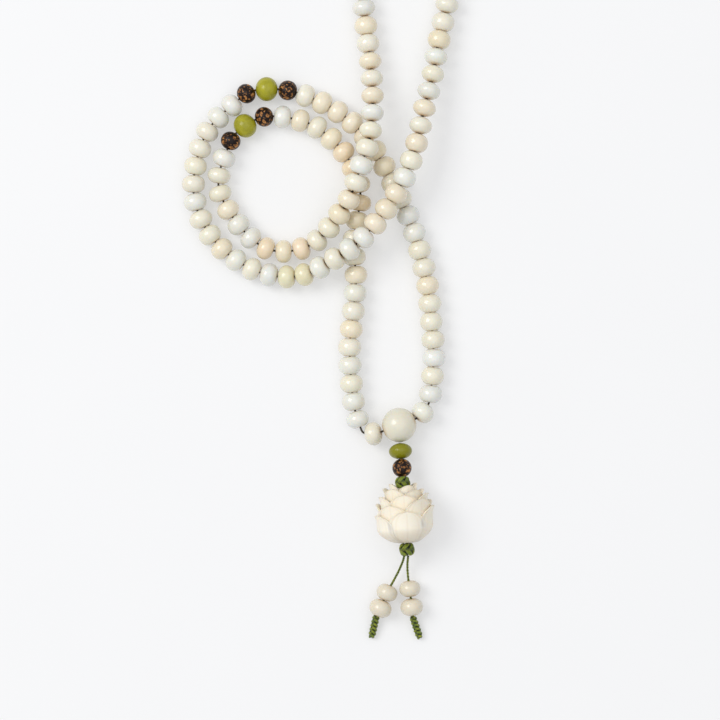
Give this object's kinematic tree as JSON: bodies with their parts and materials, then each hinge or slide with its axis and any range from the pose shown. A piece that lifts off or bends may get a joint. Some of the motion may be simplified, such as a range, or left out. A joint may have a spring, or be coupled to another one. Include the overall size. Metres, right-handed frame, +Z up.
{
  "type": "mala prayer beads",
  "caption": "String of turned ivory-white seed beads in a loop, with green and dark seed marker beads, a guru bead and a pendant of carved lotus bud, knots and beaded tails.",
  "frame": {"origin": "on the resting surface, straight under the middle of the guru bead", "axes": "+Z up from the resting surface, +Y from the guru bead along the strand towards the top of the loop, the pendant lies along -Y"},
  "size_m": [0.0974, 0.2471, 0.0202],
  "materials": {
    "counting_bead": "polished white seed",
    "guru": "polished pale cream seed",
    "tail_bead": "polished cream seed",
    "green_bead": "polished, dyed olive green",
    "seed_bead": "polished dark seed with tan flecks",
    "lotus": "carved, satin",
    "string": "waxed dark cord",
    "braided_cord": "braided green cord"
  },
  "bodies": {
    "strand": {"guru_bead": "guru", "stringing_cord": "string", "right_strand_beads_1": "counting_bead", "right_strand_beads_2": "counting_bead", "right_strand_beads_3": "counting_bead", "right_strand_beads_4": "counting_bead", "right_strand_beads_5": "counting_bead", "outer_turn_beads_1": "counting_bead", "outer_turn_beads_2": "counting_bead", "outer_turn_beads_3": "counting_bead", "outer_turn_beads_4": "counting_bead", "outer_turn_beads_5": "counting_bead", "outer_turn_beads_6": "counting_bead", "inner_turn_beads_1": "counting_bead", "inner_turn_beads_2": "counting_bead", "inner_turn_beads_3": "counting_bead", "inner_turn_beads_4": "counting_bead", "left_strand_beads_1": "counting_bead", "left_strand_beads_2": "counting_bead", "left_strand_beads_3": "counting_bead", "left_strand_beads_4": "counting_bead", "left_strand_beads_5": "counting_bead"},
    "loop_link_1": {"right_lift_bead_1": "counting_bead", "left_lift_bead_1": "counting_bead"},
    "loop_link_2": {"right_lift_bead_2": "counting_bead", "left_lift_bead_2": "counting_bead"},
    "loop_link_3": {"right_lift_bead_3": "counting_bead", "left_lift_bead_3": "counting_bead", "loop_string": "string"},
    "loop_right": {"loop_right_beads": "counting_bead"},
    "loop_left": {"loop_left_beads": "counting_bead"},
    "loop_top": {"loop_top_beads_1": "counting_bead", "loop_top_beads_2": "counting_bead"},
    "pendant": {"pendant_cord": "braided_cord", "upper_knot": "braided_cord", "lower_knot": "braided_cord"},
    "green_spacer": {"green_spacer": "green_bead"},
    "seed_spacer": {"seed_spacer": "seed_bead"},
    "lotus": {"lotus_bead": "lotus"},
    "left_tail": {"tail_cord_left": "braided_cord", "end_wrap_left": "braided_cord"},
    "left_tail_lower_bead": {"tail_bead_left_lower": "tail_bead"},
    "left_tail_upper_bead": {"tail_bead_left_upper": "tail_bead"},
    "right_tail": {"tail_cord_right": "braided_cord", "end_wrap_right": "braided_cord"},
    "right_tail_lower_bead": {"tail_bead_right_lower": "tail_bead"},
    "right_tail_upper_bead": {"tail_bead_right_upper": "tail_bead"},
    "right_guru_side_bead": {"right_guru_side_bead": "counting_bead"},
    "right_marker_side_bead": {"right_marker_side_bead": "counting_bead"},
    "right_marker_seed_1": {"right_marker_seed_1": "seed_bead"},
    "right_marker_green": {"right_marker_green": "green_bead"},
    "right_marker_seed_2": {"right_marker_seed_2": "seed_bead"},
    "outer_turn_first_bead": {"outer_turn_first_bead": "counting_bead"},
    "inner_turn_last_bead": {"inner_turn_last_bead": "counting_bead"},
    "left_marker_seed_1": {"left_marker_seed_1": "seed_bead"},
    "left_marker_green": {"left_marker_green": "green_bead"},
    "left_marker_seed_2": {"left_marker_seed_2": "seed_bead"},
    "left_marker_side_bead": {"left_marker_side_bead": "counting_bead"},
    "left_guru_side_bead": {"left_guru_side_bead": "counting_bead"}
  },
  "joints": [
    {"name": "fold_loop_1", "type": "hinge", "parent": "strand", "child": "loop_link_1", "pos_m": [-0.00076, 0.10614, 0.01223], "axis": [0.9953, 0.0916, -0.0319], "range_deg": [0, 22], "deforming": ["loop_string"]},
    {"name": "fold_loop_2", "type": "hinge", "parent": "loop_link_1", "child": "loop_link_2", "pos_m": [0.00014, 0.11224, 0.01086], "axis": [0.9963, 0.0861, -0.0049], "range_deg": [0, 22]},
    {"name": "fold_loop_3", "type": "hinge", "parent": "loop_link_2", "child": "loop_link_3", "pos_m": [0.00085, 0.1183, 0.00936], "axis": [0.9972, 0.0741, 0.0098], "range_deg": [0, 22]},
    {"name": "loop_sway", "type": "hinge", "parent": "loop_link_3", "child": "loop_right", "pos_m": [0.01225, 0.12484, 0.00688], "axis": [0, 0, 1], "range_deg": [-8, 8]},
    {"name": "loop_sway_left", "type": "hinge", "parent": "loop_link_3", "child": "loop_left", "pos_m": [-0.00973, 0.12337, 0.00663], "axis": [0, 0, 1], "range_deg": [-9, 9]},
    {"name": "loop_sway_top", "type": "hinge", "parent": "loop_right", "child": "loop_top", "pos_m": [0.01741, 0.14935, 0.00396], "axis": [0, 0, 1], "range_deg": [-7, 7]},
    {"name": "pendant_swing", "type": "hinge", "parent": "strand", "child": "pendant", "pos_m": [0.00036, -0.006, 0.006], "axis": [0, 0, 1], "range_deg": [-12, 12]},
    {"name": "lotus_turn", "type": "hinge", "parent": "pendant", "child": "lotus", "pos_m": [0.0023, -0.0405, 0.0102], "axis": [-0.0499, 0.9988, 0], "continuous": true},
    {"name": "turn_green_spacer", "type": "hinge", "parent": "pendant", "child": "green_spacer", "pos_m": [0.00045, -0.00905, 0.0068], "axis": [-0.0782, 0.9776, -0.1955], "continuous": true},
    {"name": "turn_seed_spacer", "type": "hinge", "parent": "pendant", "child": "seed_spacer", "pos_m": [0.00095, -0.01485, 0.008], "axis": [-0.0782, 0.9776, -0.1955], "continuous": true},
    {"name": "left_tail_swing", "type": "hinge", "parent": "pendant", "child": "left_tail", "pos_m": [0.00175, -0.0454, 0.0076], "axis": [0, 0, 1], "range_deg": [-28, 0]},
    {"name": "left_tail_slide_lower", "type": "slide", "parent": "left_tail", "child": "left_tail_lower_bead", "axis": [0.3794, 0.9253, 0], "range_m": [0, 0.0005]},
    {"name": "left_tail_slide_upper", "type": "slide", "parent": "left_tail_lower_bead", "child": "left_tail_upper_bead", "axis": [0.3794, 0.9253, 0], "range_m": [0, 0.0004]},
    {"name": "right_tail_swing", "type": "hinge", "parent": "pendant", "child": "right_tail", "pos_m": [0.0031, -0.0454, 0.0076], "axis": [0, 0, 1], "range_deg": [0, 28]},
    {"name": "right_tail_slide_lower", "type": "slide", "parent": "right_tail", "child": "right_tail_lower_bead", "axis": [-0.0995, 0.995, 0], "range_m": [0, 0.0016]},
    {"name": "right_tail_slide_upper", "type": "slide", "parent": "right_tail_lower_bead", "child": "right_tail_upper_bead", "axis": [-0.0995, 0.995, 0], "range_m": [0, 0.0016]},
    {"name": "turn_right_guru_side_bead", "type": "hinge", "parent": "strand", "child": "right_guru_side_bead", "pos_m": [0.00824, 0.00436, 0.00492], "axis": [0.6195, 0.7543, -0.2174], "continuous": true},
    {"name": "turn_right_marker_side_bead", "type": "hinge", "parent": "strand", "child": "right_marker_side_bead", "pos_m": [-0.03261, 0.11459, 0.004], "axis": [-0.933, 0.36, 0], "continuous": true},
    {"name": "turn_right_marker_seed_1", "type": "hinge", "parent": "strand", "child": "right_marker_seed_1", "pos_m": [-0.03877, 0.11645, 0.004], "axis": [-0.9849, 0.1733, 0], "continuous": true},
    {"name": "turn_right_marker_green", "type": "hinge", "parent": "strand", "child": "right_marker_green", "pos_m": [-0.04609, 0.11687, 0.00415], "axis": [-0.9993, -0.0373, 0], "continuous": true},
    {"name": "turn_right_marker_seed_2", "type": "hinge", "parent": "strand", "child": "right_marker_seed_2", "pos_m": [-0.0532, 0.1153, 0.004], "axis": [-0.8604, -0.5095, 0], "continuous": true},
    {"name": "turn_outer_turn_first_bead", "type": "hinge", "parent": "strand", "child": "outer_turn_first_bead", "pos_m": [-0.05819, 0.11124, 0.004], "axis": [-0.7632, -0.6461, 0], "continuous": true},
    {"name": "turn_inner_turn_last_bead", "type": "hinge", "parent": "strand", "child": "inner_turn_last_bead", "pos_m": [-0.06093, 0.09286, 0.004], "axis": [0.3669, 0.9303, 0], "continuous": true},
    {"name": "turn_left_marker_seed_1", "type": "hinge", "parent": "strand", "child": "left_marker_seed_1", "pos_m": [-0.05861, 0.09887, 0.004], "axis": [0.4385, 0.8987, 0], "continuous": true},
    {"name": "turn_left_marker_green", "type": "hinge", "parent": "strand", "child": "left_marker_green", "pos_m": [-0.05358, 0.10411, 0.00415], "axis": [0.8284, 0.5601, 0], "continuous": true},
    {"name": "turn_left_marker_seed_2", "type": "hinge", "parent": "strand", "child": "left_marker_seed_2", "pos_m": [-0.04698, 0.10724, 0.004], "axis": [0.9812, 0.193, 0], "continuous": true},
    {"name": "turn_left_marker_side_bead", "type": "hinge", "parent": "strand", "child": "left_marker_side_bead", "pos_m": [-0.04056, 0.1072, 0.004], "axis": [0.9945, -0.1046, 0], "continuous": true},
    {"name": "turn_left_guru_side_bead", "type": "hinge", "parent": "strand", "child": "left_guru_side_bead", "pos_m": [-0.00895, -0.00306, 0.00487], "axis": [0.9694, 0.1248, 0.2116], "continuous": true}
  ],
  "couplings": [
    {"joint": "fold_loop_2", "follows": "fold_loop_1", "ratio": 1},
    {"joint": "fold_loop_3", "follows": "fold_loop_1", "ratio": 1},
    {"joint": "loop_sway_left", "follows": "loop_sway", "ratio": 1},
    {"joint": "loop_sway_top", "follows": "loop_sway", "ratio": -0.728}
  ]
}
